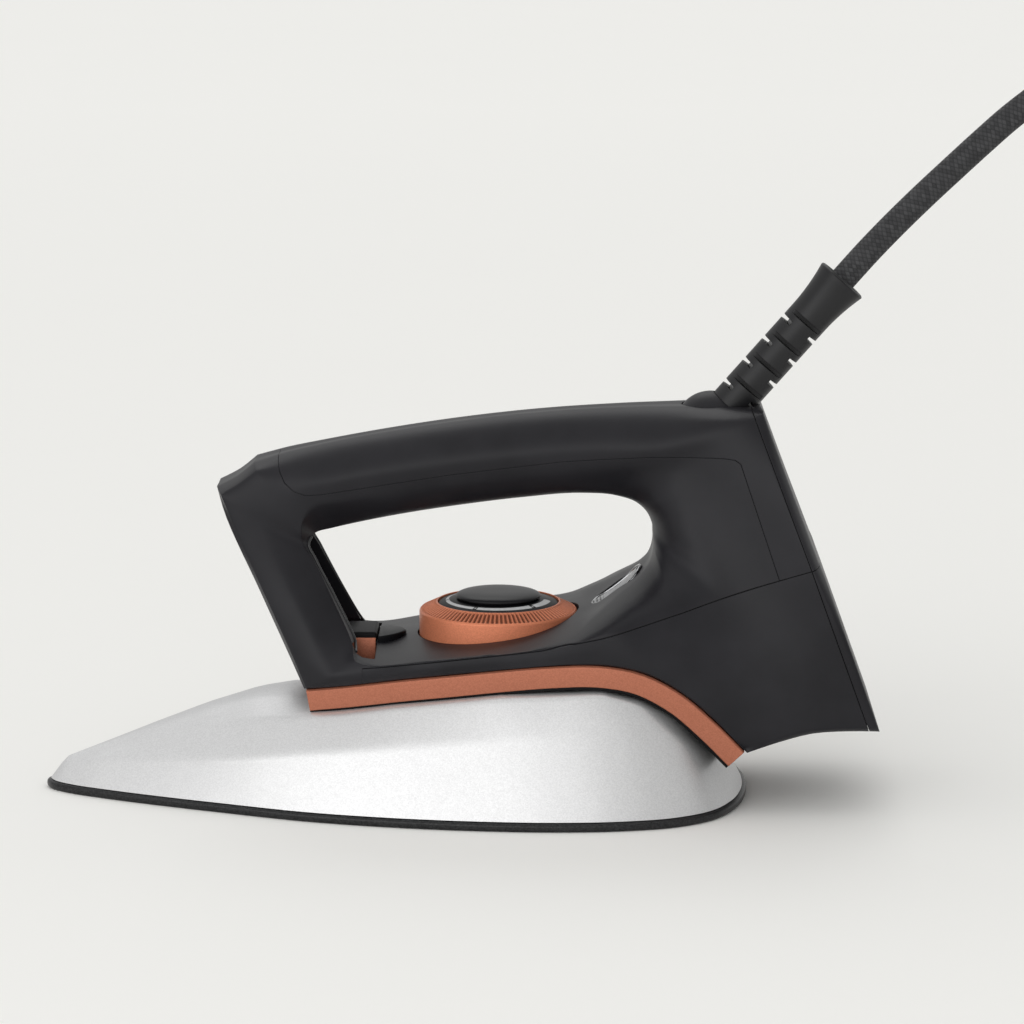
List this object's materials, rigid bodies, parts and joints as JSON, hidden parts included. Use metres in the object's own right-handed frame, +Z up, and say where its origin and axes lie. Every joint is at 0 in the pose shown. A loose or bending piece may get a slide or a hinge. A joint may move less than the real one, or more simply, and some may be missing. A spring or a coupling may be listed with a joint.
{
  "type": "dry iron",
  "caption": "Dry iron with a dark soleplate, silver metal cover, copper band, black handle with an open grip, a temperature dial and a braided cord on a swivel ball",
  "frame": {"origin": "centre of the soleplate's underside, on the floor", "axes": "+X from the tip to the heel, +Y to the far side, +Z up"},
  "size_m": [0.52, 0.1227, 0.2483],
  "materials": {
    "sole": "dark non-stick coating",
    "silver": "silver paint with a fine sparkle",
    "copper": "satin copper",
    "black": "satin black",
    "gloss": "glossy black",
    "rubber": "moulded black",
    "braid": "grey flecked braid",
    "steel": "plated",
    "brass": "bare",
    "ceramic": "fired ceramic",
    "cream": "moulded cream",
    "glass": "clear lamp glass",
    "wire_brown": "wire sleeving",
    "wire_blue": "wire sleeving",
    "wire_green": "wire sleeving"
  },
  "bodies": {
    "iron": {"soleplate": "sole", "metal_cover": "silver", "trim_tray": "copper", "body_skirt": "black", "handle_shell": "black", "grip_cover": "black", "rear_panel": "black", "heel_plate": "black", "lamp_lens": "gloss", "dial_pointer": "gloss", "swivel_seat": "black", "heating_element": "steel", "element_pin_left": "brass", "element_pin_right": "brass", "thermostat_base": "steel", "thermostat_stack": "ceramic", "thermostat_blade": "brass", "thermal_fuse": "ceramic", "fuse_clip": "steel", "neon_lamp": "glass", "terminal_block": "cream", "cord_clamp": "black", "clamp_screw_left": "steel", "clamp_screw_right": "steel", "inner_lead": "rubber", "wire_live": "wire_brown", "wire_neutral": "wire_blue", "wire_earth": "wire_green", "front_bush": "brass", "rear_bush": "brass", "front_screw": "steel", "rear_screw": "steel", "heel_screw": "steel", "cord_run": "braid", "cord_coil": "braid", "cord_tail": "braid", "plug_body": "rubber", "plug_pin_left": "steel", "plug_pin_right": "steel"},
    "dial": {"dial_ring": "copper", "dial_disc": "black", "dial_cap": "gloss", "dial_spindle": "steel"},
    "cord_swivel": {"swivel_ball": "black"},
    "cord_sleeve": {"cord_sleeve": "rubber"}
  },
  "joints": [
    {"name": "dial_turn", "type": "hinge", "parent": "iron", "child": "dial", "pos_m": [0.03441, 0, 0.0562], "axis": [0, 0, 1], "range_deg": [0, 270]},
    {"name": "swivel_tilt", "type": "hinge", "parent": "iron", "child": "cord_swivel", "pos_m": [0.1049, 0, 0.12339], "axis": [0, -1, 0], "range_deg": [0, 45], "deforming": ["cord_run"]},
    {"name": "sleeve_twist", "type": "hinge", "parent": "cord_swivel", "child": "cord_sleeve", "pos_m": [0.1049, 0, 0.12339], "axis": [0.6587, 0, 0.7524], "range_deg": [-90, 90], "deforming": ["cord_run"]}
  ]
}
